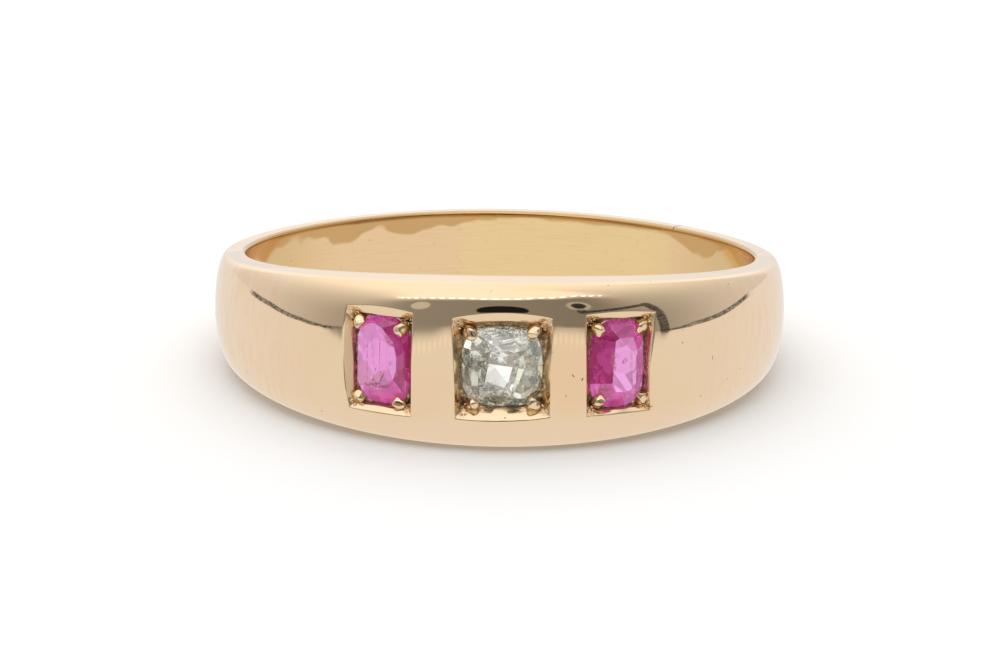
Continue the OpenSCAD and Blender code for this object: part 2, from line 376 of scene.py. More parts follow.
@dataclass
class Loops:
    """The closed loops of one setting, all with the same number of stations."""

    setting: Setting
    form: BandForm
    columns: int
    rows: int
    crowding: float = 0.45
    skirt_steps: int = 8
    round_by: float = 0.038
    seed: int = 3

    def stations(self) -> tuple[np.ndarray, np.ndarray]:
        """Side number and place along the side for each station, crowded towards the corners.

        The place is t less a share of the sine of a full turn, so that steps are shorter at both ends.
        """
        counts = [self.columns, self.rows, self.columns, self.rows]
        side = np.repeat(np.arange(4), counts)
        t = np.concatenate([np.arange(n) / n for n in counts])
        return side, t - self.crowding * np.sin(2 * math.pi * t) / (2 * math.pi)

    def outward(self, side: np.ndarray) -> np.ndarray:
        """Outward direction of each side: down, right, up and left."""
        return np.array([[0, -1], [1, 0], [0, 1], [-1, 0]])[side]

    def rim(self) -> np.ndarray:
        """The cut's edge on the face: straight sides between the corners, bowed by a filled-out sine."""
        side, t = self.stations()
        corners = np.array(self.setting.corners)
        start, end = corners[side], corners[(side + 1) % 4]
        bow = self.setting.bow.row()[side] * np.sin(math.pi * t) ** 0.8
        return start + (end - start) * t[:, None] + self.outward(side) * bow[:, None]

    def outline(self, grow: float) -> np.ndarray:
        """The stone's cushion outline at the stations, grown by a gap."""
        side, t = self.stations()
        s = self.setting
        w, h = s.stone_w + 2 * grow, s.stone_h + 2 * grow
        corner = 0.5 ** (1 / s.power)
        across = (2 * t - 1) * corner
        level = side % 2 == 0
        x = np.where(level, across * w / 2, cushion_side(h, w, across * h / 2, s.power))
        y = np.where(level, cushion_side(w, h, across * w / 2, s.power), across * h / 2)
        sign = np.array([[1, -1], [1, 1], [-1, 1], [-1, -1]])[side]
        return np.stack([x, y], -1) * sign + np.array(s.shift)

    def cornerness(self) -> np.ndarray:
        """1 at the corners and 0 from a sixth of a side away."""
        _, t = self.stations()
        return 1 - smooth(np.minimum(t, 1 - t), 0.0, 0.17)

    def build(self, skin: Skin, patch: np.ndarray,
              patch_points: np.ndarray) -> tuple[np.ndarray, np.ndarray]:
        """Adds the loops from the patch's edge down to the finger hole.

        The skirt runs on the face from the patch's edge to the rim, then come the bevel, the steep wall, the
        seat round the stone and the tapering hole that lets light in from behind. Every loop carries tarnish
        with painted shade, darkest in the corners, down the wall and round the seat, and some bevels carry a
        painted highlight.

        Args:
            skin: The mesh to add to.
            patch: Numbers of the points on the patch's edge.
            patch_points: Those points in the ring's frame.

        Returns:
            The last loop's numbers, and the points of all loops in the setting's own frame.
        """
        s, form = self.setting, self.form
        edge = s.to_local(form, patch_points)[:, :2]
        rim = self.rim()
        stone = self.outline(s.gap)
        side, _ = self.stations()
        corner = self.cornerness()
        wide = corner[:, None]
        noise = np.random.default_rng(self.seed)
        gap = np.linalg.norm(rim - stone, axis=1, keepdims=True)
        keep = np.clip(1 - s.bevel.row()[side][:, None] / gap, 0.08, 0.9)
        lip = stone + (rim - stone) * (keep + (0.45 - keep) * wide)
        loops, soot_and_shade = [], []
        away = (edge - rim) / np.linalg.norm(edge - rim, axis=1, keepdims=True)
        shoulder = rim + away * self.round_by
        for t in np.linspace(0, 1, self.skirt_steps + 1)[1:]:
            loops.append(s.on_face(form, edge + (shoulder - edge) * t))
            soot_and_shade.append(0 * corner)
        # Painted light on the bevels: painted shade on sides above 0, and on sides below 0 a painted
        # highlight that fades out into the corners.
        grime_and_painted_light = s.grime_and_painted_light.row()[side]
        bright, bevel_shade = np.minimum(grime_and_painted_light, 0) * (1 - corner), np.maximum(grime_and_painted_light, 0)
        crest = s.on_face(form, rim)
        slope = s.slope.row()[side][:, None]
        slope = slope + (0.8 - slope) * wide
        run = np.linalg.norm(rim - lip, axis=1, keepdims=True)
        lip_z = np.maximum(crest[:, 2:] - slope * run, -s.floor_d + 0.04)
        lip = np.hstack([lip, lip_z])
        run = np.linalg.norm(lip - crest, axis=1, keepdims=True)
        inner = crest + (lip - crest) * self.round_by * 1.3 / run
        outer = loops[-1]
        # The rounded crest takes painted shade near the corners, and its last loop takes the bevel's painted
        # highlight.
        for t in (0.25, 0.5, 0.75, 1.0):
            loops.append(outer * (1 - t) ** 2 + crest * 2 * t * (1 - t) + inner * t ** 2)
            soot_and_shade.append(0.3 * corner * t + bright * (t == 1.0))
        # The bevel takes its side's painted shade, more in the corners, and keeps the painted highlight.
        for t in (0.5, 1.0):
            hollow = np.array([0, 0, 0.006 * math.sin(math.pi * t)])
            loops.append(inner + (lip - inner) * t - hollow)
            soot_and_shade.append((bevel_shade + corner * 0.8) * t + bright)
        floor = stone + (rim - stone) * (0.04 + 0.18 * wide)
        # Tarnish with painted shade darkens the wall from half to full on the way down, more in the corners.
        for t in (0.2, 0.45, 0.7, 0.9, 1.0):
            rough = noise.normal(0, 0.028, (len(rim), 3)) * wide * math.sin(math.pi * min(t, 0.9))
            depth = lip_z + (-s.floor_d - lip_z) * t ** 0.8 - 0.12 * wide * math.sin(math.pi * t)
            loops.append(np.hstack([lip[:, :2] + (floor - lip[:, :2]) * t, depth]) + rough)
            soot_and_shade.append(np.minimum(0.55 + 0.45 * t + 0.3 * corner, 1.0))
        # The seat round the girdle is black with painted shade; the tapering hole below it much less.
        for shrink, depth in ((1.0, s.floor_d), (1.0, s.girdle_d), (0.93, 0.8), (0.86, 1.1), (0.78, 1.5)):
            loops.append(np.hstack([stone * shrink, np.full((len(rim), 1), -depth)]))
            soot_and_shade.append(0 * corner + (1.0 if depth < 1 else 0.4))
        hole = stone * s.light_share
        origin, across, _, outward = s.axes(form)
        start = origin[:2] + hole[:, :1] * across[:2]
        b = start @ outward[:2]
        depth = -b + np.sqrt(b ** 2 - (start ** 2).sum(1) + form.bore_r ** 2)
        loops.append(np.hstack([hole, depth[:, None]]))
        soot_and_shade.append(0 * corner + 0.2)
        stacked = np.stack(loops)
        numbers = skin.add(s.to_ring(form, stacked), np.stack(soot_and_shade))
        skin.sleeve(np.concatenate([patch[None], numbers]))
        return numbers[-1], stacked


@dataclass(frozen=True)
class Pebble:
    """A rounded lump with burnished flats and a tail that roots it in the metal."""

    centre: tuple[float, float, float]
    radius: float
    tail: tuple[float, float, float]
    stretch: float
    flats: np.ndarray
    depths: np.ndarray
    hardness: float = 14.0

    def loops(self, rows: int, stations: int) -> np.ndarray:
        """The lump's parallels from its lower pole to its upper one.

        In each direction the radius is 1 over a power sum of 1 and the reach towards every flat, so the
        lump is a ball that the flats cut off softly. Along the tail it grows as the square of a cosine.

        Args:
            rows: Number of parallels.
            stations: Points on each parallel.

        Returns:
            Points in the setting's own frame, one row for each parallel.
        """
        rise = np.linspace(-math.pi / 2, math.pi / 2, rows + 2)[1:-1, None]
        turn = np.arange(stations)[None] * 2 * math.pi / stations
        across, along = np.cos(rise) * np.cos(turn), np.cos(rise) * np.sin(turn)
        way = np.stack([across, along, np.sin(rise) + 0 * turn], -1)
        reach = np.clip(way @ self.flats.T, 0, None) / self.depths
        size = (1 + (reach ** self.hardness).sum(-1)) ** (-1 / self.hardness)
        along = np.clip(way @ np.array(self.tail), 0, None) ** 2
        return np.array(self.centre) + self.radius * way * (size * (1 + self.stretch * along))[..., None]


@dataclass(frozen=True)
class Grains:
    """The four grains of a setting, with the small curls that the graver left behind them."""

    setting: Setting
    form: BandForm
    seed: int
    bead_z: float = -0.3
    curls: int = 9
    seat_z: float = -0.5

    def build(self, skin: Skin, recess: np.ndarray) -> None:
        """Adds every grain and curl to the band's mesh.

        Args:
            skin: The mesh to add to.
            recess: Points of the recess in the setting's own frame, on which the curls lie.
        """
        draw = np.random.default_rng(self.seed)
        ground = recess[recess[:, 2] > self.seat_z]
        size = self.setting.bead_r
        for bead, corner in zip(np.array(self.setting.beads), np.array(self.setting.corners)):
            out = (corner - bead) / np.linalg.norm(corner - bead)
            tail = np.array([*out, -0.9])
            self.lump(skin, draw, np.array([*bead, self.bead_z]), size, tail, 0.9, (20, 28))
            for share in np.linspace(0.3, 0.68, self.curls):
                aside = np.array([-out[1], out[0]]) * draw.uniform(-0.15, 0.15)
                spot = bead + (corner - bead) * share + aside
                under = ground[np.argmin(((ground[:, :2] - spot) ** 2).sum(1))]
                radius = draw.uniform(0.02, 0.042)
                way = np.array([*(out + draw.normal(0, 0.35, 2)), 0.3])
                self.lump(skin, draw, under + np.array([0, 0, radius * 0.3]), radius, way, 2.4, (8, 12))

    def lump(self, skin: Skin, draw: np.random.Generator, centre: np.ndarray, radius: float,
             tail: np.ndarray, stretch: float, size: tuple[int, int]) -> None:
        """Adds one lump with random flats.

        Args:
            skin: The mesh to add to.
            draw: Source of the random flats.
            centre: Middle of the lump in the setting's own frame.
            radius: Its radius.
            tail: Direction of its root.
            stretch: How far the root grows, as a share of the radius.
            size: Rows and stations of its grid.
        """
        flats = draw.normal(0, 1, (8, 3)) + np.array([0, 0, 0.8])
        flats = flats / np.linalg.norm(flats, axis=1, keepdims=True)
        depths = draw.uniform(0.66, 0.9, 8)
        tail = tail / np.linalg.norm(tail)
        pebble = Pebble(tuple(centre), radius, tuple(tail), stretch, flats, depths)
        loops = pebble.loops(*size)
        # Painted shade under each lump: its value rises to 0.9 towards its underside, and its lower pole is
        # dark, the upper one clean.
        grime_and_painted_light = 0.9 * (1 - smooth((loops[..., 2] - centre[2]) / radius, -1.2, 0.2))
        numbers = skin.add(self.setting.to_ring(self.form, loops), grime_and_painted_light)
        skin.sleeve(numbers)
        for ring, turned in ((loops[0], False), (loops[-1], True)):
            pole = skin.add(self.setting.to_ring(self.form, ring.mean(0)[None]), 0.0 if turned else 0.9)
            edge = numbers[-1] if turned else numbers[0][::-1]
            fan = [edge, np.roll(edge, -1), np.full(len(edge), pole[0])]
            skin.faces.append(np.stack(fan, -1))


@dataclass
class Band:
    """The gold band, built as one closed skin: outside, edges, finger hole, recesses and grains."""

    form: BandForm
    settings: tuple[Setting, ...]
    out_steps: int = 96
    patch_step: int = 21
    face_steps: int = 6
    ease_steps: int = 4
    bore_steps: int = 20
    bore_patch: int = 6
    fine_deg: float = 0.5
    coarse_deg: float = 1.1

    def columns(self) -> tuple[np.ndarray, list[tuple[int, int]]]:
        """Angles of the grid's columns, with the first and last column of each setting's patch."""
        angles: list[float] = []
        spans = []
        at = -180.0
        ordered = sorted(self.settings, key=lambda s: s.angle_deg)
        for s in ordered:
            low, high = s.angle_deg - s.patch_deg, s.angle_deg + s.patch_deg
            step = self.coarse_deg if at < -90 else self.fine_deg
            count = max(2, round((low - at) / (step if low - at < 20 else self.coarse_deg * 0.75)))
            angles += list(np.linspace(at, low, count, endpoint=False))
            inside = round((high - low) / self.fine_deg)
            spans.append((len(angles), len(angles) + inside))
            angles += list(np.linspace(low, high, inside, endpoint=False))
            at = high
        angles += list(np.linspace(at, 180.0, round((180 - at) / (self.coarse_deg * 0.75)), endpoint=False))
        order = {s.name: span for s, span in zip(ordered, spans)}
        return np.radians(np.array(angles)), [order[s.name] for s in self.settings]

    def section(self, angle: np.ndarray) -> np.ndarray:
        """Grid of points, one column for each angle and one row for each place round the section.

        The rows go up the outside, in over the upper edge, down the finger hole and out again below.
        Rows on the outside crowd towards its edges as a sine, and each inner edge is a quarter circle.
        """
        f = self.form
        a = angle[:, None]
        up = np.sin(np.linspace(-1, 1, self.out_steps + 1) * math.pi / 2)[None]
        outside = f.outside(a, np.broadcast_to(up, (len(angle), up.shape[1])))
        half = f.half_width(a)
        rim_r = f.bore_r + f.thickness(a) * (1 - f.shoulder)
        t = np.linspace(0, 1, self.face_steps + 1)[None, 1:]
        face_r = rim_r + (f.bore_r + f.edge_ease - rim_r) * t
        turn = np.linspace(0, math.pi / 2, self.ease_steps + 1)[None, 1:]
        ease_r = f.bore_r + f.edge_ease * (1 - np.sin(turn)) + 0 * a
        ease_z = half - f.edge_ease * (1 - np.cos(turn))
        down = np.linspace(1, -1, self.bore_steps + 1)[None, 1:-1]
        bore_r = np.full((len(angle), self.bore_steps - 1), f.bore_r)
        bore_z = (half - f.edge_ease) * down
        radius = np.hstack([face_r, ease_r, bore_r, ease_r[:, ::-1], face_r[:, ::-1]])
        level = np.hstack([half + 0 * face_r, ease_z, bore_z, -ease_z[:, ::-1], -half + 0 * face_r])
        inner = np.stack([radius * np.sin(a), -radius * np.cos(a), level], -1)
        return np.concatenate([outside, inner], 1)

    def border(self, grid: np.ndarray, span: tuple[int, int], low: int, high: int) -> np.ndarray:
        """Points round a rectangle of the grid: bottom, right, top and left, each without its last."""
        a, b = span
        parts = [grid[a:b, low], grid[b, low:high], grid[b:a:-1, high], grid[a, high:low:-1]]
        return np.concatenate(parts)

    def build(self) -> Skin:
        """Adds the grid without its patches, then the loops and the grains of each setting."""
        skin = Skin()
        angle, spans = self.columns()
        points = self.section(angle)
        grid = skin.add(points)
        rows = grid.shape[1]
        low, high = self.patch_step, self.out_steps - self.patch_step
        middle = self.out_steps + self.face_steps + self.ease_steps + self.bore_steps // 2
        keep = np.ones(grid.shape, bool)
        for a, b in spans:
            keep[a:b, low:high] = False
            keep[a:b, middle - self.bore_patch:middle + self.bore_patch] = False
        i, j = np.nonzero(keep)
        i1, j1 = (i + 1) % len(grid), (j + 1) % rows
        skin.faces.append(np.stack([grid[i, j], grid[i1, j], grid[i1, j1], grid[i, j1]], -1))
        flat = points.reshape(-1, 3)
        for number, (s, span) in enumerate(zip(self.settings, spans)):
            patch = self.border(grid, span, low, high)
            loops = Loops(s, self.form, span[1] - span[0], high - low, seed=number + 3)
            last, recess = loops.build(skin, patch, flat[patch])
            wall = self.border_down(grid, span, middle + self.bore_patch, middle - self.bore_patch)
            place = self.places(recess[-1, :, :2])
            wall_place = self.places(s.to_local(self.form, flat[wall])[:, :2])
            inner, inner_at = self.started(last, place)
            outer, outer_at = self.started(wall, wall_place)
            skin.zip_loops(inner, outer, inner_at, outer_at)
            Grains(s, self.form, seed=number + 11).build(skin, recess.reshape(-1, 3))
        return skin

    def border_down(self, grid: np.ndarray, span: tuple[int, int], low: int, high: int) -> np.ndarray:
        """The same walk as border, on the finger hole's wall, where the rows run downwards."""
        a, b = span
        parts = [grid[a:b, low], grid[b, low:high:-1], grid[b:a:-1, high], grid[a, high:low]]
        return np.concatenate(parts)

    def places(self, flat: np.ndarray) -> np.ndarray:
        """Direction of each point from the middle, as a share of a full turn."""
        return np.arctan2(flat[:, 1], flat[:, 0]) / (2 * math.pi) % 1

    def started(self, numbers: np.ndarray, place: np.ndarray) -> tuple[np.ndarray, np.ndarray]:
        """The loop turned so that its places rise, in the order that zip_loops takes."""
        first = int(np.argmin(place))
        return np.roll(numbers, -first), np.roll(place, -first)


@dataclass(frozen=True)
class Tier:
    """A ring of facets on a cut stone.

    Each facet faces outwards at a tilt from level and touches the outline, drawn in by a share, at a height.
    """

    count: int
    start: float
    tilt_deg: float
    share: float
    height: float
    below: bool = False


@dataclass(frozen=True)
class Facet:
    """One crown facet: its direction, the table's edge it meets, and a level if it stops lower."""

    facing_deg: float
    inner: float
    level: float = 0.43
    outer: float = 1.0


@dataclass(frozen=True)
class CutStone:
    """A cushion-cut stone, as the space inside all of its facet planes."""

    name: str
    width: float
    height: float
    table_z: float
    culet_z: float
    tiers: tuple[Tier, ...]
    power: float = 3.2
    girdle_t: float = 0.06
    girdle_facets: int = 28
    unevenness: float = 0.012
    crown: tuple[Facet, ...] = ()
    shade: tuple[float, float] = (0.0, 0.0)
    spread: float = 0.2
    seed: int = 1

    def facing(self, turn: np.ndarray) -> np.ndarray:
        """Outward direction of the cushion outline at each turn round it, as an angle."""
        bend = 2 - 2 / self.power
        c, s = np.cos(turn), np.sin(turn)
        x = np.sign(c) * np.abs(c) ** bend / self.width
        y = np.sign(s) * np.abs(s) ** bend / self.height
        return np.arctan2(y, x)

    def reach(self, facing: np.ndarray) -> np.ndarray:
        """How far the outline reaches in a direction: the dual power sum of its half sizes."""
        dual = self.power / (self.power - 1)
        x = np.abs(self.width / 2 * np.cos(facing)) ** dual
        y = np.abs(self.height / 2 * np.sin(facing)) ** dual
        return (x + y) ** (1 / dual)

    def planes(self) -> tuple[np.ndarray, np.ndarray]:
        """Normals and distances of all facets, each a little uneven, with the girdle's among them."""
        draw = np.random.default_rng(self.seed)
        normals = [np.array([[0, 0, 1.0]]), np.array([[0, 0, -1.0]])]
        distances = [np.array([self.table_z]), np.array([-self.culet_z])]
        girdle = Tier(self.girdle_facets, 0.5, 90, 1.0, 0.0)
        for tier in (girdle, *self.tiers):
            turn = (np.arange(tier.count) + tier.start) * 2 * math.pi / tier.count
            facing = self.facing(turn)
            uneven = self.unevenness if tier.tilt_deg < 90 else 0
            tilt = math.radians(tier.tilt_deg) + draw.normal(0, 1.6, tier.count) * uneven
            facing = facing + draw.normal(0, 2.5, tier.count) * uneven
            up = np.cos(tilt) * (-1 if tier.below else 1)
            normals.append(np.stack([np.sin(tilt) * np.cos(facing), np.sin(tilt) * np.sin(facing), up], -1))
            distance = self.reach(facing) * tier.share * np.sin(tilt) + tier.height * up
            distances.append(distance * (1 + draw.normal(0, 0.35, tier.count) * uneven))
        if self.crown:
            given = self.given()
            normals.append(given[0])
            distances.append(given[1])
        normal = np.concatenate(normals)
        length = np.linalg.norm(normal, axis=1)
        return normal / length[:, None], np.concatenate(distances) / length

    def given(self) -> tuple[np.ndarray, np.ndarray]:
        """Normals and distances of the crown's own facets.

        Each plane passes the table's edge at its level and the outline at the girdle's upper edge, both
        in the facet's direction.
        """
        facing, inner, level, outer = np.array([[math.radians(f.facing_deg), f.inner, f.level, f.outer]
                                                for f in self.crown]).T
        foot = self.girdle_t / 2
        tilt = np.arctan2(level - foot, self.reach(facing) * outer - inner)
        normal = np.stack([np.sin(tilt) * np.cos(facing), np.sin(tilt) * np.sin(facing), np.cos(tilt)], -1)
        return normal, inner * np.sin(tilt) + level * np.cos(tilt)

    def corners(self, normal: np.ndarray, distance: np.ndarray) -> np.ndarray:
        """Every point where three planes meet and that no other plane cuts off.

        Args:
            normal: Normals of the planes.
            distance: Their distances from the stone's middle.

        Returns:
            The corners, with some of them more than once.
        """
        i, j, k = np.array(np.meshgrid(*[np.arange(len(normal))] * 3, indexing="ij")).reshape(3, -1)
        ordered = (i < j) & (j < k)
        i, j, k = i[ordered], j[ordered], k[ordered]
        jk, ki, ij = (np.cross(normal[a], normal[b]) for a, b in ((j, k), (k, i), (i, j)))
        volume = (normal[i] * jk).sum(1)
        sound = np.abs(volume) > 1e-7
        met = distance[i, None] * jk + distance[j, None] * ki + distance[k, None] * ij
        met = met[sound] / volume[sound, None]
        return met[(met @ normal.T <= distance + 1e-7).all(1)]

    def mesh(self) -> bpy.types.Mesh:
        """The stone's skin in millimetres: the hull of its corners, with each facet in one piece."""
        data = bpy.data.meshes.new(self.name)
        data.from_pydata(self.corners(*self.planes()).tolist(), [], [])
        solid = bmesh.new()
        solid.from_mesh(data)
        bmesh.ops.remove_doubles(solid, verts=solid.verts, dist=0.002)
        hull = bmesh.ops.convex_hull(solid, input=solid.verts)
        spare = dict.fromkeys(hull["geom_interior"] + hull["geom_unused"])
        spare = [v for v in spare if isinstance(v, bmesh.types.BMVert)]
        bmesh.ops.delete(solid, geom=spare, context="VERTS")
        bmesh.ops.dissolve_limit(solid, angle_limit=math.radians(0.8), verts=solid.verts, edges=solid.edges)
        bmesh.ops.recalc_face_normals(solid, faces=solid.faces)
        solid.to_mesh(data)
        solid.free()
        return data


@dataclass
class Gem:
    """One stone in its setting."""

    stone: CutStone
    setting: Setting
    form: BandForm
    sink: float = 0.52

    def build(self, lying: Lying) -> bpy.types.Object:
        """Makes the stone's object, with a value from 0 to 1 for each facet that paints its light: 0 for the
        table's painted highlight, rising as painted shade towards one side, with a random spread.

        Args:
            lying: Where the ring lies.

        Returns:
            The new object.
        """
        data = self.stone.mesh()
        middles = np.empty(3 * len(data.polygons), np.float32)
        data.polygons.foreach_get("center", middles)
        middles = middles.reshape(-1, 3)
        half = np.array([self.stone.width / 2, self.stone.height / 2])
        # Painted light: the facet value rises as painted shade towards the side that the stone's shade pair
        # gives, scatters at random, and is 0 on the table, its painted highlight.
        tone = 0.5 + (middles[:, :2] / half) @ np.array(self.stone.shade)
        tone = tone + np.random.default_rng(self.stone.seed).normal(0, self.stone.spread, len(middles))
        tone = np.where(middles[:, 2] > self.stone.table_z - 0.02, 0.0, tone)
        points = np.empty(3 * len(data.vertices), np.float32)
        data.vertices.foreach_get("co", points)
        local = points.reshape(-1, 3) + np.array([*self.setting.shift, -self.sink])
        placed = lying.place(self.setting.to_ring(self.form, local)).astype(np.float32)
        data.vertices.foreach_set("co", placed.ravel())
        layer = data.attributes.new("tone", "FLOAT", "FACE")
        layer.data.foreach_set("value", np.clip(tone, 0, 1).astype(np.float32))
        layer = data.attributes.new("below", "FLOAT", "FACE")
        layer.data.foreach_set("value", (middles[:, 2] < -0.1).astype(np.float32))
        data.update()
        piece = bpy.data.objects.new(self.stone.name, data)
        bpy.context.scene.collection.objects.link(piece)
        return piece


class Signal:
    """A number that varies over a surface: a socket with arithmetic that adds Math nodes."""

    def __init__(self, graph: "Graph", socket: bpy.types.NodeSocket) -> None:
        """Wraps a socket of the graph."""
        self.graph = graph
        self.socket = socket

    def math(self, operation: str, *others: "Signal | float", first: bool = True) -> "Signal":
        """Adds a Math node.

        Args:
            operation: Its operation.
            others: The other values.
            first: False if this value comes after the other one.

        Returns:
            The node's result.
        """
        values = [self, *others] if first else [*others, self]
        node = self.graph.make("ShaderNodeMath", {"operation": operation}, dict(enumerate(values)))
        return Signal(self.graph, node.outputs[0])

    def __add__(self, other: "Signal | float") -> "Signal":
        """The sum."""
        return self.math("ADD", other)

    __radd__ = __add__

    def __sub__(self, other: "Signal | float") -> "Signal":
        """The difference."""
        return self.math("SUBTRACT", other)

    def __rsub__(self, other: float) -> "Signal":
        """The difference from a number."""
        return self.math("SUBTRACT", other, first=False)

    def __mul__(self, other: "Signal | float") -> "Signal":
        """The product."""
        return self.math("MULTIPLY", other)

    __rmul__ = __mul__

    def __truediv__(self, other: "Signal | float") -> "Signal":
        """The quotient."""
        return self.math("DIVIDE", other)

    def __pow__(self, other: "Signal | float") -> "Signal":
        """The power."""
        return self.math("POWER", other)

    def __abs__(self) -> "Signal":
        """The size without its sign."""
        return self.math("ABSOLUTE")

    def least(self, other: "Signal | float") -> "Signal":
        """The smaller of the two."""
        return self.math("MINIMUM", other)

    def most(self, other: "Signal | float") -> "Signal":
        """The larger of the two."""
        return self.math("MAXIMUM", other)

    def rise(self, low: float, high: float) -> "Signal":
        """Rises smoothly from 0 at low to 1 at high; falls if high is below low."""
        down = high < low
        span = {0: self, 1: min(low, high), 2: max(low, high), 3: float(down), 4: float(not down)}
        node = self.graph.make("ShaderNodeMapRange", {"interpolation_type": "SMOOTHSTEP"}, span)
        return Signal(self.graph, node.outputs[0])


class Graph:
    """One shader tree, emptied and ready for new nodes."""

    def __init__(self, tree: bpy.types.NodeTree) -> None:
        """Empties the tree."""
        tree.nodes.clear()
        self.tree = tree

    def make(self, kind: str, settings: dict | None = None, values: dict | None = None) -> bpy.types.Node:
        """Adds a node.

        Args:
            kind: The node's type.
            settings: Its own settings, set first; stops are a ramp's places and colours.
            values: Values or links of its inputs, by name or number.

        Returns:
            The node.
        """
        node = self.tree.nodes.new(kind)
        for name, value in (settings or {}).items():
            if name == "stops":
                self.stops(node.color_ramp, value)
            else:
                setattr(node, name, value)
        for key, value in (values or {}).items():
            socket = value.socket if isinstance(value, Signal) else value
            if isinstance(socket, bpy.types.NodeSocket):
                self.tree.links.new(socket, node.inputs[key])
            else:
                node.inputs[key].default_value = socket
        return node

    def stops(self, ramp: bpy.types.ColorRamp, stops: list[tuple[float, tuple]]) -> None:
        """Sets a ramp's stops from pairs of a place and a colour."""
        while len(ramp.elements) < len(stops):
            ramp.elements.new(1.0)
        for element, (place, colour) in zip(ramp.elements, stops):
            element.position = place
            element.color = colour

    def signal(self, kind: str, settings: dict | None = None, values: dict | None = None,
               output: str | int = 0) -> Signal:
        """Adds a node and gives one of its outputs as a signal."""
        return Signal(self, self.make(kind, settings, values).outputs[output])

    def noise(self, vector: bpy.types.NodeSocket, scale: float, detail: float = 2.0,
              twist: float = 0.0) -> Signal:
        """Noise from 0 to 1 at a scale, in repeats for each unit of the vector."""
        values = {"Vector": vector, "Scale": scale, "Detail": detail, "Distortion": twist}
        return self.signal("ShaderNodeTexNoise", {}, values)

    def curve(self, value: Signal, stops: tuple[tuple[float, float], ...]) -> Signal:
        """A line through stops, each a place and a height."""
        places = [place for place, _ in stops]
        heights = [height for _, height in stops]
        low, span = min(heights), max(heights) - min(heights)
        width = places[-1] - places[0]
        grey = [((p - places[0]) / width, colour(*[(h - low) / span] * 3)) for p, h in stops]
        share = (value - places[0]) / width
        return self.signal("ShaderNodeValToRGB", {"stops": grey}, {0: share}) * span + low

    def split(self, vector: bpy.types.NodeSocket) -> tuple[Signal, Signal, Signal]:
        """The three parts of a vector."""
        node = self.make("ShaderNodeSeparateXYZ", {}, {0: vector})
        x, y, z = (Signal(self, out) for out in node.outputs)
        return x, y, z

    def vector(self, x: Signal | float, y: Signal | float, z: Signal | float) -> bpy.types.NodeSocket:
        """A vector from three numbers."""
        return self.make("ShaderNodeCombineXYZ", {}, {0: x, 1: y, 2: z}).outputs[0]

    def blend(self, share: Signal | float, first: object, second: object) -> bpy.types.NodeSocket:
        """Mixes two colours, from the first at 0 to the second at 1."""
        settings = {"data_type": "RGBA", "clamp_factor": True}
        return self.make("ShaderNodeMix", settings, {0: share, 6: first, 7: second}).outputs[2]


def colour(red: float, green: float, blue: float) -> tuple[float, float, float, float]:
    """An opaque colour in linear light."""
    return (red, green, blue, 1.0)


@dataclass(frozen=True)
class Spot:
    """A small mark: ring angle, place along the finger, half sizes and turn."""

    angle_deg: float
    along: float
    half_w: float
    half_l: float
    turn_deg: float = 0.0


def ring_place(g: Graph, lying: Lying) -> tuple[bpy.types.NodeSocket, Signal, Signal, Signal]:
    """Object coordinates in the ring's own frame.

    Args:
        g: The graph to add to.
        lying: Where the ring lies.

    Returns:
        The place in millimetres, the angle round the ring in degrees, the place along the finger and the
        distance from the finger hole's middle line.
    """
    place = g.make("ShaderNodeTexCoord").outputs["Object"]
    back = lying.matrix().inverted()
    values = {"Vector": place, "Location": back.translation * 1000,
              "Rotation": (lying.lean, 0, 0), "Scale": (1000,) * 3}
    ring = g.make("ShaderNodeMapping", {}, values).outputs[0]
    x, y, z = g.split(ring)
    degrees = x.math("ARCTAN2", y * -1) * (180 / math.pi)
    return ring, degrees, z, (x * x + y * y) ** 0.5


def spotted(degrees: Signal, z: Signal, spots: tuple[Spot, ...], low: float, high: float) -> Signal:
    """1 in the spots and 0 off them, from the squared distance to an ellipse round each.

    Args:
        degrees: Angle round the ring.
        z: Place along the finger.
        spots: The ellipses.
        low: Squared distance within which the value is 1.
        high: Squared distance from which it is 0.

    Returns:
        The largest value of all spots.
    """
    total = None
    for n in spots:
        c, s = math.cos(math.radians(n.turn_deg)), math.sin(math.radians(n.turn_deg))
        across, along = (degrees - n.angle_deg) * 0.195, z - n.along
        u, v = (across * c + along * s) / n.half_w, (along * c - across * s) / n.half_l
        spot = (u * u + v * v).rise(high, low)
        total = spot if total is None else total.most(spot)
    return total


